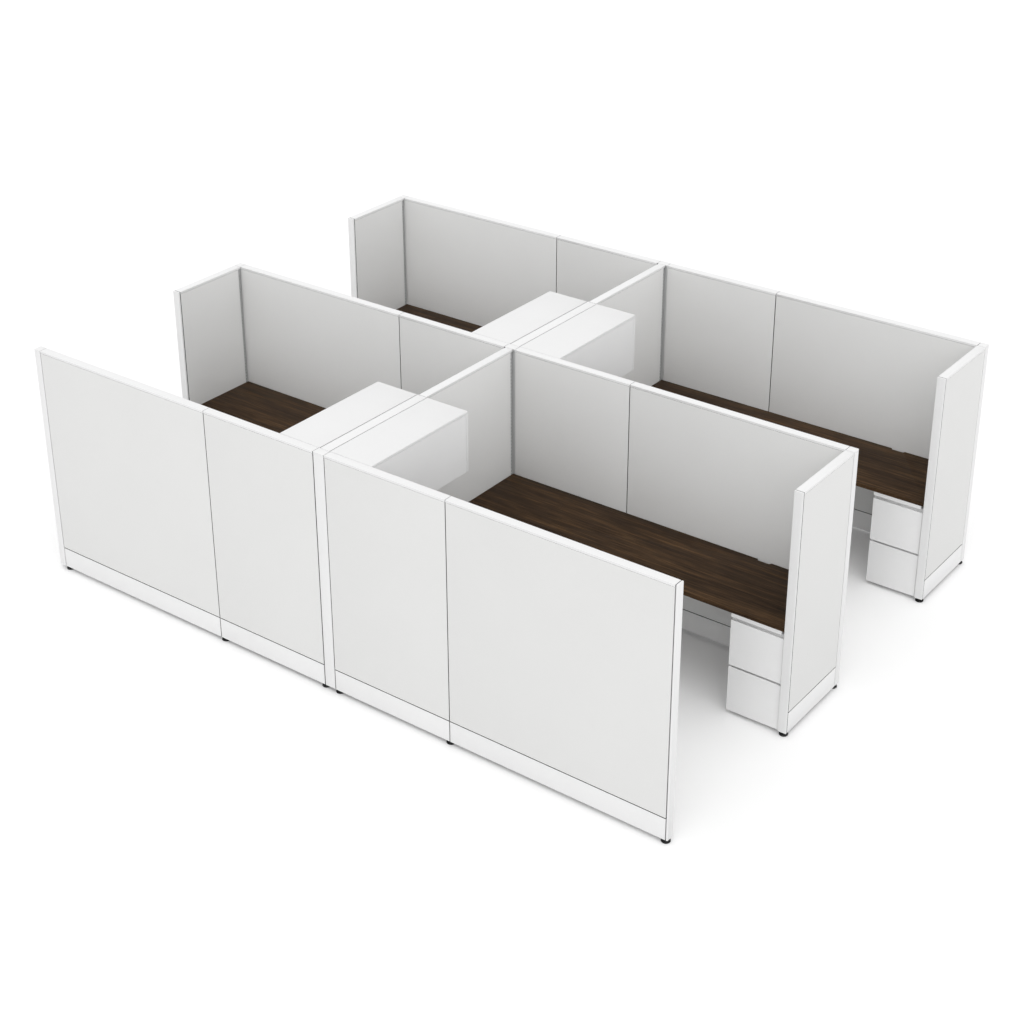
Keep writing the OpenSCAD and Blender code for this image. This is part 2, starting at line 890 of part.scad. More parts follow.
at_station(-1, 1) drawer_box(0);  // back_left_lower_box
at_station(1, 0) drawer_front(1);  // front_right_upper_front
at_station(1, 0) drawer_front(0);  // front_right_lower_front
at_station(-1, 0) drawer_front(1);  // front_left_upper_front
at_station(-1, 0) drawer_front(0);  // front_left_lower_front
at_station(1, 1) drawer_front(1);  // back_right_upper_front
at_station(1, 1) drawer_front(0);  // back_right_lower_front
at_station(-1, 1) drawer_front(1);  // back_left_upper_front
at_station(-1, 1) drawer_front(0);  // back_left_lower_front
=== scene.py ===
import bmesh
import bpy
import math
from mathutils import Matrix, Vector


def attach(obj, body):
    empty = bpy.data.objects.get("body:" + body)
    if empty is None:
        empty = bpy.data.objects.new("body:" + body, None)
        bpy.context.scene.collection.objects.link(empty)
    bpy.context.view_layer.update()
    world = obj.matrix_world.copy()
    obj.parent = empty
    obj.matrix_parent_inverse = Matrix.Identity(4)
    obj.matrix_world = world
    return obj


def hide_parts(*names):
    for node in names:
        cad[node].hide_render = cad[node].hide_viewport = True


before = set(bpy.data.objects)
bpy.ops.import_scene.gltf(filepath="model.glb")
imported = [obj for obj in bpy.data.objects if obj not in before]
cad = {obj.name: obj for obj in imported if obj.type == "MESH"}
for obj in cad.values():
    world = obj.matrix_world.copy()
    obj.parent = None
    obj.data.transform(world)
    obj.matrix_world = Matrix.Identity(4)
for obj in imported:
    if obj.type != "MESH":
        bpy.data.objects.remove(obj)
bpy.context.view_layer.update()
walls = "walls_and_desks"
stations = ("front_right", "front_left", "back_right", "back_left")
scene = bpy.context.scene
scene.view_settings.view_transform = "Standard"


def addObject(name, data):
    made = bpy.data.objects.new(name, data)
    scene.collection.objects.link(made)
    return made


# Camera, where the photograph was taken from

photoCamera = {
    "place": (6.6413, -8.8756, 6.6265),
    "turn": 0.642473,
    "tip": 0.437994,
    "roll": -0.003183,
    "lens": 64.058,
    "sensor": 36,
    "rise": -0.12891,  # the photograph's own middle is above the picture's
    "farEnd": 200,
}


def placeCamera(spec):
    turn, tip, roll = spec["turn"], spec["tip"], spec["roll"]
    ahead = Vector((-math.sin(turn) * math.cos(tip), math.cos(turn) * math.cos(tip),
                    -math.sin(tip)))
    level = Vector((math.cos(turn), math.sin(turn), 0))
    over = level.cross(ahead)
    right = level * math.cos(roll) + over * math.sin(roll)
    up = over * math.cos(roll) - level * math.sin(roll)
    look = Matrix((right, up, -ahead)).transposed().to_4x4()
    look.translation = Vector(spec["place"])
    lens = bpy.data.cameras.new("photoCamera")
    lens.sensor_width = spec["sensor"]
    lens.lens = spec["lens"]
    lens.shift_y = spec["rise"]
    lens.clip_end = spec["farEnd"]
    scene.camera = addObject("photoCamera", lens)
    scene.camera.matrix_world = look


placeCamera(photoCamera)
print("camera placed")


# Small helpers for node trees

def fromHex(text):
    # The sRGB curve, undone
    parts = [int(text[at:at + 2], 16) / 255 for at in (0, 2, 4)]
    return tuple(p / 12.92 if p <= 0.04045 else ((p + 0.055) / 1.055) ** 2.4 for p in parts) + (1,)


def feed(tree, node, key, value):
    # Another node's socket is linked, and anything else is the input's own value
    if isinstance(value, bpy.types.NodeSocket):
        tree.links.new(value, node.inputs[key])
    else:
        node.inputs[key].default_value = value


def addNode(tree, kind, settings=None):
    made = tree.nodes.new(kind)
    for key, value in (settings or {}).items():
        if isinstance(key, int) or key in made.inputs:
            feed(tree, made, key, value)
        else:
            setattr(made, key, value)
    return made


def calc(tree, operation, first, second=0.0):
    return addNode(tree, "ShaderNodeMath", {"operation": operation, 0: first, 1: second}).outputs[0]


def blendColours(tree, share, low, high, how="MIX"):
    settings = {"blend_type": how, 0: share, 1: low, 2: high}
    return addNode(tree, "ShaderNodeMixRGB", settings).outputs[0]


def noiseOf(tree, where, scale, detail, roughness=0.5, distortion=0.0, stretch=None):
    if stretch:
        where = addNode(tree, "ShaderNodeMapping", {"Scale": stretch, "Vector": where}).outputs[0]
    made = addNode(tree, "ShaderNodeTexNoise", {
        "Scale": scale, "Detail": detail, "Roughness": roughness, "Distortion": distortion,
        "Vector": where})
    return made.outputs[0]


def spread(tree, value, low, high, start=0.3, stop=0.7):
    # Most of a noise lies between the start and the stop
    made = addNode(tree, "ShaderNodeMapRange", {
        "From Min": start, "From Max": stop, "To Min": low, "To Max": high, "Value": value})
    return made.outputs[0]


def around(tree, value, middle, reach):
    return spread(tree, value, middle - reach, middle + reach)


def emptyTree(holder, endKind):
    holder.use_nodes = True
    tree = holder.node_tree
    tree.nodes.clear()
    return tree, tree.nodes.new(endKind)


def newFinish(name, constants):
    finish = bpy.data.materials.new(name)
    tree, end = emptyTree(finish, "ShaderNodeOutputMaterial")
    surface = addNode(tree, "ShaderNodeBsdfPrincipled", constants)
    tree.links.new(surface.outputs[0], end.inputs[0])
    where = tree.nodes.new("ShaderNodeTexCoord").outputs["Object"]
    return finish, tree, surface, where


def tint(tree, surface, shade, tone):
    feed(tree, surface, "Base Color", blendColours(tree, 1.0, shade, tone, "MULTIPLY"))


def giveBump(tree, surface, height, strength, depth):
    bump = addNode(tree, "ShaderNodeBump", {
        "Strength": strength, "Distance": depth, "Height": height})
    feed(tree, surface, "Normal", bump.outputs[0])


# Finishes. A noise is its scale, detail, roughness, distortion and stretch, as far as given,
# and threads and reliefs are in metres

clothLook = {
    # The cloth darkens between the threads: painted shade in the weave's hollows, deepest where the
    # weave is lowest
    "shade": "E6E6E5", "hollow": 0.93, "hollowShare": 0.6, "hollowHeight": 0.8,
    "sheen": 0.08, "sheenRoughness": 0.45, "specular": 0.25, "dull": (0.8, 0.92),
    "thread": 0.0011, "bump": 0.35, "relief": 0.0003,
    "fibreNoise": (1400, 3), "fibre": 0.02, "fibreHeight": 0.4,
    "cloudNoise": (2.2, 3), "cloudiness": 0.006,
}


def panelCloth(name, look):
    finish, tree, surface, where = newFinish(name, {
        "Sheen Weight": look["sheen"], "Sheen Roughness": look["sheenRoughness"],
        "Specular IOR Level": look["specular"]})
    parts = addNode(tree, "ShaderNodeSeparateXYZ", {0: where}).outputs
    # Every tile faces along X or Y, so the sum of the two runs across it
    across = calc(tree, "ADD", parts[0], parts[1])
    turns = math.pi / look["thread"]
    waves = [calc(tree, "SINE", calc(tree, "MULTIPLY", run, turns)) for run in (across, parts[2])]
    warp, weft = [calc(tree, "ABSOLUTE", wave) for wave in waves]
    over = calc(tree, "GREATER_THAN", calc(tree, "MULTIPLY", *waves))
    height = calc(tree, "ADD", calc(tree, "MULTIPLY", over, warp),
                  calc(tree, "MULTIPLY", calc(tree, "SUBTRACT", 1.0, over), weft))
    fibre = noiseOf(tree, where, *look["fibreNoise"])
    cloud = noiseOf(tree, where, *look["cloudNoise"])
    shade = fromHex(look["shade"])
    # Painted shade: the colour deepens towards the low parts of the weave
    weaveShade = tuple(c * look["hollow"] for c in shade[:3]) + (1,)
    hollows = spread(tree, height, look["hollowShare"], 0.0, 0.0, look["hollowHeight"])
    tone = calc(tree, "ADD", around(tree, fibre, 1, look["fibre"]),
                around(tree, cloud, 0, look["cloudiness"]))
    tint(tree, surface, blendColours(tree, hollows, shade, weaveShade), tone)
    feed(tree, surface, "Roughness", spread(tree, fibre, *look["dull"]))
    fuzz = calc(tree, "MULTIPLY", fibre, look["fibreHeight"])
    giveBump(tree, surface, calc(tree, "ADD", height, fuzz), look["bump"], look["relief"])
    return finish


paintLook = {
    "specular": 0.4, "relief": 0.0003, "glossier": 0.04, "duller": 0.05, "grainDull": 0.02,
    "grainNoise": (620, 2), "cloudNoise": (3.1, 4), "rubNoise": (38, 5, 0.62),
}


def satinPaint(name, shade, dull, peel=0.05, mottle=0.01):
    look = paintLook
    finish, tree, surface, where = newFinish(name, {"Specular IOR Level": look["specular"]})
    grain = noiseOf(tree, where, *look["grainNoise"])
    cloud = noiseOf(tree, where, *look["cloudNoise"])
    rub = noiseOf(tree, where, *look["rubNoise"])
    tone = calc(tree, "ADD", around(tree, cloud, 1, mottle), around(tree, rub, 0, mottle / 2))
    tint(tree, surface, fromHex(shade), tone)
    rubbed = spread(tree, rub, dull - look["glossier"], dull + look["duller"])
    feed(tree, surface, "Roughness",
         calc(tree, "ADD", rubbed, around(tree, grain, 0, look["grainDull"])))
    giveBump(tree, surface, grain, peel, look["relief"])
    return finish


boardLook = {
    "specular": 0.35, "dull": (0.38, 0.47), "bump": 0.08, "relief": 0.0002,
    "pebbles": {"feature": "SMOOTH_F1", "Scale": 700, "Smoothness": 0.8},
    "cloudNoise": (4, 3), "cloudTone": (0.992, 1.006), "hazeNoise": (55, 4, 0.6), "haze": 0.005,
}


def pebbledBoard(name, shade):
    look = boardLook
    finish, tree, surface, where = newFinish(name, {"Specular IOR Level": look["specular"]})
    pebble = addNode(tree, "ShaderNodeTexVoronoi", {**look["pebbles"], "Vector": where}).outputs[0]
    cloud = noiseOf(tree, where, *look["cloudNoise"])
    haze = noiseOf(tree, where, *look["hazeNoise"])
    tone = calc(tree, "ADD", spread(tree, cloud, *look["cloudTone"]),
                around(tree, haze, 0, look["haze"]))
    tint(tree, surface, fromHex(shade), tone)
    feed(tree, surface, "Roughness", spread(tree, haze, *look["dull"]))
    giveBump(tree, surface, pebble, look["bump"], look["relief"])
    return finish


walnutLook = {
    "specular": 0.08, "dull": (0.42, 0.52), "bump": 0.12, "relief": 0.0003,
    "bands": ((0.4, "271B11"), (0.5, "3A2B1D"), (0.62, "5B442D")),
    "fibreTone": (0.86, 1.14),
    "pores": "1A120B", "poreShare": 0.45, "poreRange": (0.58, 0.68),
    "shares": {"planks": 0.3, "streaks": 0.4, "threads": 0.3},
    # Scale along the grain and across it, detail, roughness, distortion
    "grain": {
        "planks": (0.6, 9.0, 5, 0.55, 0.6),
        "streaks": (2.4, 52.0, 6, 0.6, 0.25),
        "threads": (4.6, 150.0, 4, 0.6, 0.1),
        "fibres": (9.0, 420.0, 3, 0.5, 0.0),
        "pores": (34.0, 760.0, 2, 0.4, 0.0),
    },
}


def walnutLaminate(name, look, along):
    finish, tree, surface, where = newFinish(name, {"Specular IOR Level": look["specular"]})
    grain = {}
    for part, (length, width, *settings) in look["grain"].items():
        stretch = tuple(length if at == along else width for at in range(3))
        grain[part] = noiseOf(tree, where, 1.0, *settings, stretch)
    planks, streaks, threads = [calc(tree, "MULTIPLY", grain[part], share)
                                for part, share in look["shares"].items()]
    ramp = addNode(tree, "ShaderNodeValToRGB", {
        "Fac": calc(tree, "ADD", planks, calc(tree, "ADD", streaks, threads))})
    band = ramp.color_ramp.elements
    band.new(look["bands"][1][0])
    for element, (place, shade) in zip(band, look["bands"]):
        element.position, element.color = place, fromHex(shade)
    tone = spread(tree, grain["fibres"], *look["fibreTone"])
    figured = blendColours(tree, 1.0, ramp.outputs[0], tone, "MULTIPLY")
    pits = spread(tree, grain["pores"], 0.0, look["poreShare"], *look["poreRange"])
    feed(tree, surface, "Base Color", blendColours(tree, pits, figured, fromHex(look["pores"])))
    feed(tree, surface, "Roughness", spread(tree, grain["streaks"], *look["dull"]))
    relief = calc(tree, "SUBTRACT", grain["fibres"], pits)
    giveBump(tree, surface, relief, look["bump"], look["relief"])
    return finish


blackLook = {
    "shades": ("0B0B0C", "121213"), "specular": 0.4, "dull": (0.42, 0.56),
    "bump": 0.15, "relief": 0.0002, "grainNoise": (900, 2), "cloudNoise": (40, 3),
}


def mouldedBlack(name, look):
    finish, tree, surface, where = newFinish(name, {"Specular IOR Level": look["specular"]})
    grain = noiseOf(tree, where, *look["grainNoise"])
    cloud = noiseOf(tree, where, *look["cloudNoise"])
    shades = [fromHex(shade) for shade in look["shades"]]
    feed(tree, surface, "Base Color", blendColours(tree, spread(tree, cloud, 0.0, 1.0), *shades))
    feed(tree, surface, "Roughness", spread(tree, cloud, *look["dull"]))
    giveBump(tree, surface, grain, look["bump"], look["relief"])
    return finish


zincLook = {
    "shade": "B9BCBF", "dull": (0.3, 0.44), "bump": 0.05, "relief": 0.0002,
    "spangle": {"Scale": 130, "Randomness": 1.0}, "spangleTone": (0.93, 1.04),
    "scratchNoise": (1.0, 3, 0.5, 0.0, (60, 900, 900)), "scratch": 0.03,
}


def zincPlate(name, look):
    finish, tree, surface, where = newFinish(name, {"Metallic": 1.0})
    spangle = addNode(tree, "ShaderNodeTexVoronoi", {**look["spangle"], "Vector": where}).outputs[1]
    flake = addNode(tree, "ShaderNodeRGBToBW", {0: spangle}).outputs[0]
    scratch = noiseOf(tree, where, *look["scratchNoise"])
    tone = calc(tree, "ADD", spread(tree, flake, *look["spangleTone"], 0.0, 1.0),
                around(tree, scratch, 0, look["scratch"]))
    tint(tree, surface, fromHex(look["shade"]), tone)
    feed(tree, surface, "Roughness", spread(tree, scratch, *look["dull"]))
    giveBump(tree, surface, scratch, look["bump"], look["relief"])
    return finish


finishes = {
    "cloth": panelCloth("panelCloth", clothLook),
    "trim": satinPaint("trimPaint", "EBEBEB", 0.42),
    "base": satinPaint("baseMoulding", "EDEDED", 0.46, peel=0.08),
    "board": pebbledBoard("boardLaminate", "E7E7E7"),
    # The drawer fronts are the boards' laminate drawn lighter: painted light that makes up for the
    # shade they stand in
    "front": pebbledBoard("frontLaminate", "F0F0F0"),
    "caseSteel": satinPaint("casePaint", "EAEAEA", 0.38),
    "boxSteel": satinPaint("drawerPaint", "E0E1E1", 0.4),
    "frameDark": satinPaint("framePaint", "3A3B3C", 0.55, peel=0.08, mottle=0.03),
    "stripGrey": satinPaint("stripPaint", "C8C9C9", 0.5, peel=0.08, mottle=0.02),
    "walnutX": walnutLaminate("walnutAlong", walnutLook, 0),
    "walnutY": walnutLaminate("walnutReturn", walnutLook, 1),
    "black": mouldedBlack("glideBlack", blackLook),
    "zinc": zincPlate("zincPlate", zincLook),
    # Painted shade for the posts' faces set back in the inner corners
    "recessGreyShade": satinPaint("recessShadePaint", "C6C7C7", 0.5, peel=0.08, mottle=0.02),
    # Painted shade for faces that look into seams: mid grey, near black for level seams, light grey
    # beside lids and end trims
    "seamGreyShade": satinPaint("seamShadePaint", "6E6E6F", 0.6, peel=0.08, mottle=0.03),
    "seamLevelShade": satinPaint("levelSeamShadePaint", "2C2C2D", 0.6, peel=0.08, mottle=0.03),
    "seamLightShade": satinPaint("lightSeamShadePaint", "C4C4C4", 0.6, peel=0.08, mottle=0.02),
    "slotShade": satinPaint("slotShadow", "2B2B2C", 0.6),
}
print("finishes:", len(finishes))


# Pieces made from the solids, with their edges softened

softening = {"weld": 2e-5, "flat": 0.5, "edge": 40, "crease": 32}  # metres, then degrees

softLooks = {  # finish, record's slot, width of the softened edge in metres, its steps
    "tiles": ("cloth", "tile_fabric", 0.0012, 3),
    "base_covers": ("base", "base_white", 0.001, 2),
    "top_caps": ("trim", "trim_white", 0.001, 2),
    "posts": ("trim", "trim_white", 0.0012, 2),
    "trims": ("trim", "trim_white", 0.0014, 2),
    "boards": ("board", "board_white", 0.0005, 2),
    "cases": ("caseSteel", "pedestal_steel", 0.0005, 1),
    "doors": ("board", "board_white", 0.0006, 2),
    "fronts": ("front", "board_white", 0.001, 2),
    "boxes": ("boxSteel", "drawer_steel", 0.0005, 1),
    "long tops": ("walnutX", "walnut", 0.0016, 3),
    "returns": ("walnutY", "walnut", 0.0016, 3),
}


def weldedShape(node):
    shape = bmesh.new()
    shape.from_mesh(cad[node].data)
    bmesh.ops.remove_doubles(shape, verts=shape.verts, dist=softening["weld"])
    return shape


def mergedMesh(name, node):
    shape = weldedShape(node)
    bmesh.ops.dissolve_limit(shape, angle_limit=math.radians(softening["flat"]),
                             verts=shape.verts, edges=shape.edges)
    made = bpy.data.meshes.new(name)
    shape.to_mesh(made)
    shape.free()
    return made


def solidBoxes(node):
    shape = weldedShape(node)
    left, boxes = set(shape.verts), []
    while left:
        heap, places = [left.pop()], []
        while heap:
            vert = heap.pop()
            places.append(vert.co.copy())
            near = {edge.other_vert(vert) for edge in vert.link_edges} & left
            left -= near
            heap.extend(near)
        boxes.append(tuple(Vector([pick(p[at] for p in places) for at in range(3)])
                           for pick in (min, max)))
    shape.free()
    return sorted(boxes, key=lambda box: tuple(round(c, 4) for c in box[0]))


def camel(node):
    words = node.split("_")
    return words[0] + "".join(word.title() for word in words[1:])


def soften(node, look, body=walls):
    finish, slotName, edge, rounds = softLooks[look]
    mesh = mergedMesh(camel(node), node)
    for face in mesh.polygons:
        face.use_smooth = True
    mesh.materials.append(finishes[finish])
    piece = addObject(camel(node), mesh)
    bevel = piece.modifiers.new("softEdges", "BEVEL")
    bevel.width = edge
    bevel.segments = rounds
    bevel.limit_method = "ANGLE"
    bevel.angle_limit = math.radians(softening["edge"])
    bevel.harden_normals = True
    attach(piece, body)
    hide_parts(node)
    return piece


# Faces that look into a seam get painted shade, a grey that is darker or lighter by what is across
# it

seams = {
    "reach": 0.0065,  # a little more than the gap between two tiles
    "along": 0.9,  # a face looks along an axis when this much of its normal does
    "frontWall": -1.8,  # the front wall is nearer than this, and nothing else is
    "spineZone": 1.0,  # the spine's posts are within this of the middle, the wings aren't
}

wallKinds = ("wide", "narrow", "spine", "wing")
wallSkins = ("tiles", "base_covers", "top_caps")
wallNodes = [f"{kind}_{skin}" for kind in wallKinds for skin in wallSkins]
wallNodes += ["spine_posts", "corner_posts", "post_caps", "end_trims", "overhead_lids"]
wallBoxes = [(node, low, high) for node in wallNodes for low, high in solidBoxes(node)]


def shadeFaces(piece, pick):
    # The pick names a face's finish, or nothing where the face keeps the piece's own
    places = {}
    for face in piece.data.polygons:
        finish = pick(face)
        if finish and finish not in places:
            places[finish] = len(piece.data.materials)
            piece.data.materials.append(finishes[finish])
        face.material_index = places.get(finish, 0)
    piece.modifiers["softEdges"].material = 0


def looksSideways(face):
    return abs(face.normal.x) > seams["along"]


def seamShadeFinish(face):
    # Painted shade: a face whose probe lands in another wall solid is greyed, darkest where it
    # faces up or down
    probe = face.center + face.normal * seams["reach"]
    for node, low, high in wallBoxes:
        if all(low[at] < probe[at] < high[at] for at in range(3)):
            if abs(face.normal.z) > seams["along"]:
                return "seamLevelShade"
            lighter = node == "overhead_lids" or node == "end_trims" and looksSideways(face)
            return "seamLightShade" if lighter else "seamGreyShade"


def postFinish(face):
    # Grey faces are set back in the inner corners, or beside the front wall's tiles: painted shade
    # on the white posts, where shadow falls
    if face.center.y > seams["frontWall"]:
        return "recessGreyShade" if face.normal.y < -seams["along"] else None
    onSpine = abs(face.center.x) < seams["spineZone"]
    return "seamGreyShade" if onSpine and looksSideways(face) else None


def lidFinish(face):
    # The lids' sides that look into a seam get the light painted seam shade
    return "seamLightShade" if looksSideways(face) and seamShadeFinish(face) else None


for kind in wallKinds:
    for skin in wallSkins:
        shadeFaces(soften(f"{kind}_{skin}", skin), seamShadeFinish)
for node in ("spine_posts", "corner_posts"):
    shadeFaces(soften(node, "posts"), postFinish)
soften("post_caps", "posts")
soften("end_trims", "trims")
print("wall pieces softened, seams shaded")

shadeFaces(soften("overhead_lids", "boards"), lidFinish)
for node in ("overhead_shelves", "overhead_ends", "overhead_backs", "pedestal_spacers"):
    soften(node, "boards")
for node in ("pedestal_sides", "pedestal_backs", "pedestal_pans"):
    soften(node, "cases")
for station in stations:
    soften(station + "_door", "doors", station + "_door")
    for level in ("upper", "lower"):
        drawer = f"{station}_{level}"
        soften(drawer + "_front", "fronts", drawer + "_drawer")
        soften(drawer + "_box", "boxes", drawer + "_drawer")
soften("main_worksurfaces", "long tops")
soften("return_worksurfaces", "returns")
print("cabinets and worksurfaces softened")


# Solids that stay, with their own finishes

keptNodes = {
    "frameDark": ("wide_frames", "narrow_frames", "spine_frames", "wing_frames"),
    "stripGrey": ("corner_strips",),
    "zinc": ("support_arms", "support_angles", "joining_plates", "overhead_hangers", "door_pins",
             "drawer_channels", "glide_stems"),
    "black": ("pedestal_feet",),
}
for finish, names in keptNodes.items():
    for node in names:
        cad[node].data.materials.clear()
        cad[node].data.materials.append(finishes[finish])
print("kept solids finished")


# Repeated parts, grown on points by geometry nodes

socketKinds = {int: "Int", float: "Float", tuple: "Vector", bpy.types.Material: "Material"}


def newTree(name, look):
    # Every setting of the look is an input of the tree
    tree = bpy.data.node_groups.new(name, "GeometryNodeTree")
    inputs = {"Points": "Geometry", **{label: socketKinds[type(look[label])] for label in look}}
    for label, kind in inputs.items():
        tree.interface.new_socket(name=label, in_out="INPUT", socket_type="NodeSocket" + kind)
    tree.interface.new_socket(name="Geometry", in_out="OUTPUT", socket_type="NodeSocketGeometry")
    return tree, tree.nodes.new("NodeGroupInput").outputs, tree.nodes.new("NodeGroupOutput")


def joined(tree, *shapes):
    both = addNode(tree, "GeometryNodeJoinGeometry")
    for shape in shapes:
        tree.links.new(shape, both.inputs[0])
    return both.outputs[0]


def turnedShape(tree, sides, radius, steps):
    # A round disc is raised and drawn in or out again and again, as on a lathe
    disc = addNode(tree, "GeometryNodeMeshCircle", {
        "fill_type": "NGON", "Vertices": sides, "Radius": radius}).outputs[0]
    shape, top = disc, None
    for rise, share in steps:
        lift = addNode(tree, "GeometryNodeExtrudeMesh", {
            "mode": "FACES", "Offset Scale": rise, "Mesh": shape})
        if top:
            feed(tree, lift, "Selection", top)
        top = lift.outputs["Top"]
        shape = addNode(tree, "GeometryNodeScaleElements", {
            "Scale": share, "Geometry": lift.outputs["Mesh"], "Selection": top}).outputs[0]
    under = addNode(tree, "GeometryNodeFlipFaces", {"Mesh": disc}).outputs[0]
    return addNode(tree, "GeometryNodeMergeByDistance", {
        "Distance": softening["weld"], 0: joined(tree, shape, under)}).outputs[0]


def repeatOnPoints(tree, start, end, shape, axis="Z"):
    facing = addNode(tree, "GeometryNodeInputNamedAttribute", {
        "data_type": "FLOAT_VECTOR", "Name": "facing"})
    turn = addNode(tree, "FunctionNodeAlignRotationToVector", {
        "axis": axis, "Vector": facing.outputs[0]})
    spots = addNode(tree, "GeometryNodeInstanceOnPoints", {
        "Points": start["Points"], "Instance": shape, "Rotation": turn.outputs[0]})
    real = addNode(tree, "GeometryNodeRealizeInstances", {0: spots.outputs[0]})
    painted = addNode(tree, "GeometryNodeSetMaterial", {
        "Geometry": real.outputs[0], "Material": start["Finish"]})
    tree.links.new(painted.outputs[0], end.inputs[0])


def growOn(name, tree, spots, look, body, replaced=()):
    mesh = bpy.data.meshes.new(name + "Spots")
    mesh.from_pydata([tuple(place) for place, way in spots], [], [])
    facing = mesh.attributes.new("facing", "FLOAT_VECTOR", "POINT")
    facing.data.foreach_set("vector", [c for place, way in spots for c in way])
    holder = addObject(name + "Spots", mesh)
    grow = holder.modifiers.new("grow", "NODES")
    grow.node_group = tree
    for item in tree.interface.items_tree:
        if item.name in look:
            grow[item.identifier] = look[item.name]
    ready = holder.evaluated_get(bpy.context.evaluated_depsgraph_get())
    made = bpy.data.meshes.new_from_object(ready)
    made.name = name
    bpy.data.objects.remove(holder)
    made.polygons.foreach_set("use_smooth", [True] * len(made.polygons))
    made.set_sharp_from_angle(angle=math.radians(softening["crease"]))
    piece = addObject(name, made)
    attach(piece, body)
    if replaced:
        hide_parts(*replaced)


# Levelling glides: a black foot with a ribbed rim under every post

glideLook = {
    "Sides": 40, "Foot Radius": 0.0266,
    "Rib Count": 36, "Rib Reach": 0.0274, "Rib Size": (0.0012, 0.0018, 0.0062),
    "Rib Lift": (0.0, 0.0, 0.0048), "Finish": finishes["black"],
}
glideSteps = [(0.0012, 1.028), (0.0072, 1.0), (0.0016, 0.95), (0.0, 0.72), (0.0034, 0.9),
              (0.0, 0.74), (0.0036, 0.96)]  # metres up, then the share of the last radius


def glideTree():
    tree, start, end = newTree("glideFoot", glideLook)
    foot = turnedShape(tree, start["Sides"], start["Foot Radius"], glideSteps)
    ring = addNode(tree, "GeometryNodeMeshCircle", {
        "Vertices": start["Rib Count"], "Radius": start["Rib Reach"]})
    raised = addNode(tree, "GeometryNodeTransform", {
        "Translation": start["Rib Lift"], 0: ring.outputs[0]})
    where = addNode(tree, "GeometryNodeInputPosition").outputs[0]
    flat = addNode(tree, "ShaderNodeVectorMath", {"operation": "MULTIPLY", 0: where, 1: (1, 1, 0)})
    outward = addNode(tree, "FunctionNodeAlignRotationToVector", {
        "axis": "X", "Vector": flat.outputs[0]})
    rib = addNode(tree, "GeometryNodeMeshCube", {"Size": start["Rib Size"]})
    ribs = addNode(tree, "GeometryNodeInstanceOnPoints", {
        "Points": raised.outputs[0], "Instance": rib.outputs[0], "Rotation": outward.outputs[0]})
    repeatOnPoints(tree, start, end, joined(tree, foot, ribs.outputs[0]))
    return tree


footSpots = [(((low + high) / 2).to_2d().to_3d(), (0, 0, 1))
             for low, high in solidBoxes("glide_feet")]
growOn("glideFeet", glideTree(), footSpots, glideLook, walls, ["glide_feet"])
print("glides:", len(footSpots))


# Pan head screws that hold the brackets, seen from under the worksurfaces

screwLook = {"Sides": 12, "Head Radius": 0.0046, "Finish": finishes["zinc"]}
screwSteps = [(0.0007, 1.0), (0.0011, 0.84), (0.0005, 0.6), (0.0, 0.66), (-0.0012, 0.9)]
# The last steps sink the drive's recess
screwRows = {  # shares of the bracket's length, then metres from its middle line
    "support_angles": ((0.08, 0.36, 0.64, 0.92), (0,)),
    "support_arms": ((0.12, 0.42, 0.72, 0.94), (-0.0115, 0.0115)),
}
plateShares = ((0.25, 0.75), (0.1, 0.34, 0.66, 0.9))  # of a joining plate's two sides
bracketSheet = 0.003  # metres


def screwTree():
    tree, start, end = newTree("panScrew", screwLook)
    head = turnedShape(tree, start["Sides"], start["Head Radius"], screwSteps)
    repeatOnPoints(tree, start, end, head)
    return tree


def rowPlaces(node):
    shares, aside = screwRows[node]
    for low, high in solidBoxes(node):
        size, middle = high - low, (low + high) / 2
        run = 0 if size.x > size.y else 1
        for share in shares:
            for offset in aside:
                place = Vector(middle)
                place[run] = low[run] + size[run] * share
                place[1 - run] += offset
                place.z = high.z - bracketSheet
                yield place


def platePlaces(node):
    for low, high in solidBoxes(node):
        size = high - low
        for shareX in plateShares[0]:
            for shareY in plateShares[1]:
                yield Vector((low.x + size.x * shareX, low.y + size.y * shareY, low.z))


screwPlaces = [*rowPlaces("support_angles"), *platePlaces("joining_plates"),
               *rowPlaces("support_arms")]
screwSpots = [(place, (0, 0, -1)) for place in screwPlaces]
growOn("bracketScrews", screwTree(), screwSpots, screwLook, walls)
print("screws:", len(screwSpots))


# Slots in the set-back strips of the inner corners, for hanging cabinets at any height

# Each slot is a thin dark box on the strip's face: painted shade standing in for the hole's depth
slotLook = {
    "Slot Count": 56, "Slot Pitch": 0.0254, "Slot Size": (0.0004, 0.0032, 0.0135),
    "Finish": finishes["slotShade"],
}
lowestSlot = 0.21  # metres above the floor


def slotTree():
    tree, start, end = newTree("hangingSlots", slotLook)
    step = addNode(tree, "ShaderNodeCombineXYZ", {"Z": start["Slot Pitch"]})
    column = addNode(tree, "GeometryNodeMeshLine", {
        "Count": start["Slot Count"], "Offset": step.outputs[0]})
    slot = addNode(tree, "GeometryNodeMeshCube", {"Size": start["Slot Size"]})
    slots = addNode(tree, "GeometryNodeInstanceOnPoints", {
        "Points": column.outputs[0], "Instance": slot.outputs[0]})
    repeatOnPoints(tree, start, end, slots.outputs[0], "X")
    return tree


stripSpots = []
for low, high in solidBoxes("corner_strips"):
    middle = (low + high) / 2
    inward = -1 if abs(middle.x) > seams["spineZone"] else 1
    way = math.copysign(1, middle.x) * inward
    face = high.x if way > 0 else low.x
    stripSpots.append((Vector((face, middle.y, lowestSlot)), (way, 0, 0)))
growOn("hangingSlots", slotTree(), stripSpots, slotLook, walls)
print("slot columns:", len(stripSpots))


# Floor, background and light

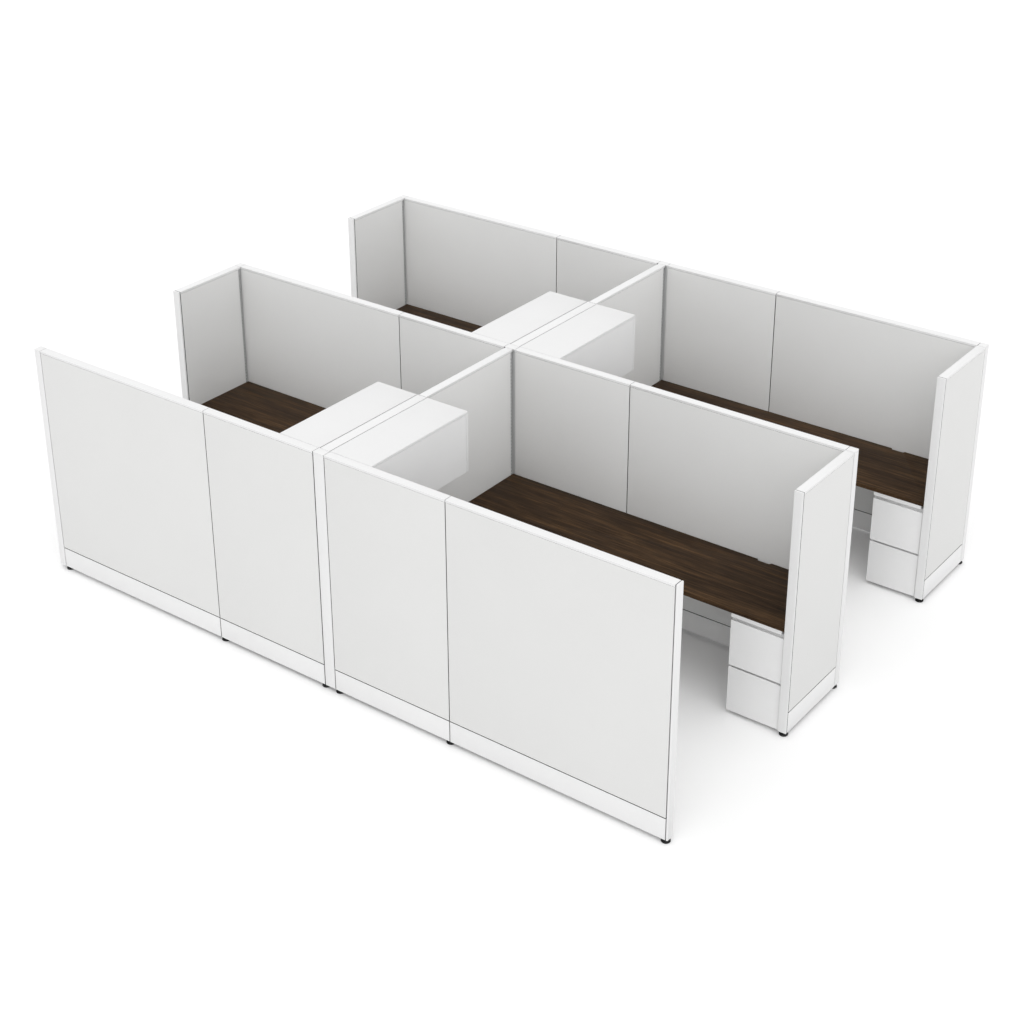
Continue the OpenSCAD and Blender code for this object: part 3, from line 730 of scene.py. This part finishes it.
studio = {
    "floorSize": 70, "floorDrop": 0.0003, "floorShade": 0.78, "floorSeen": 1.0,
    "sky": 0.89, "skyLow": 0.88,
    "lamp": 0.88, "lampAngle": 70, "lampFrom": (0.56, -0.66, 1.0),
}


def seenByEye(tree):
    path = tree.nodes.new("ShaderNodeLightPath")
    seen = calc(tree, "MAXIMUM", path.outputs["Is Camera Ray"], path.outputs["Is Glossy Ray"])
    return calc(tree, "MAXIMUM", seen, path.outputs["Is Transmission Ray"])


def layFloor(spec):
    shape = bmesh.new()
    bmesh.ops.create_grid(shape, x_segments=1, y_segments=1, size=spec["floorSize"])
    mesh = bpy.data.meshes.new("studioFloor")
    shape.to_mesh(mesh)
    shape.free()
    for vert in mesh.vertices:
        vert.co.z = -spec["floorDrop"]
    finish = bpy.data.materials.new("studioFloor")
    tree, end = emptyTree(finish, "ShaderNodeOutputMaterial")
    greys = [(spec[shade],) * 3 + (1,) for shade in ("floorShade", "floorSeen")]
    paint = addNode(tree, "ShaderNodeBsdfDiffuse", {
        "Color": blendColours(tree, seenByEye(tree), *greys)})
    tree.links.new(paint.outputs[0], end.inputs[0])
    mesh.materials.append(finish)
    floor = addObject("studioFloor", mesh)


def lightStudio(spec):
    world = bpy.data.worlds.new("studioLight")
    tree, end = emptyTree(world, "ShaderNodeOutputWorld")
    aim = tree.nodes.new("ShaderNodeTexCoord").outputs["Generated"]
    where = addNode(tree, "ShaderNodeSeparateXYZ", {0: aim})
    level = spread(tree, where.outputs[2], spec["skyLow"], spec["sky"], 0.0, 1.0)
    bright = calc(tree, "MAXIMUM", level, seenByEye(tree))
    glow = addNode(tree, "ShaderNodeBackground", {"Color": bright})
    tree.links.new(glow.outputs[0], end.inputs[0])
    scene.world = world
    sun = bpy.data.lights.new("softLamp", "SUN")
    sun.energy = spec["lamp"]
    sun.angle = math.radians(spec["lampAngle"])
    lamp = addObject("softLamp", sun)
    lamp.rotation_mode = "QUATERNION"
    lamp.rotation_quaternion = Vector(spec["lampFrom"]).to_track_quat("Z", "Y")


layFloor(studio)
lightStudio(studio)
print("studio lit")
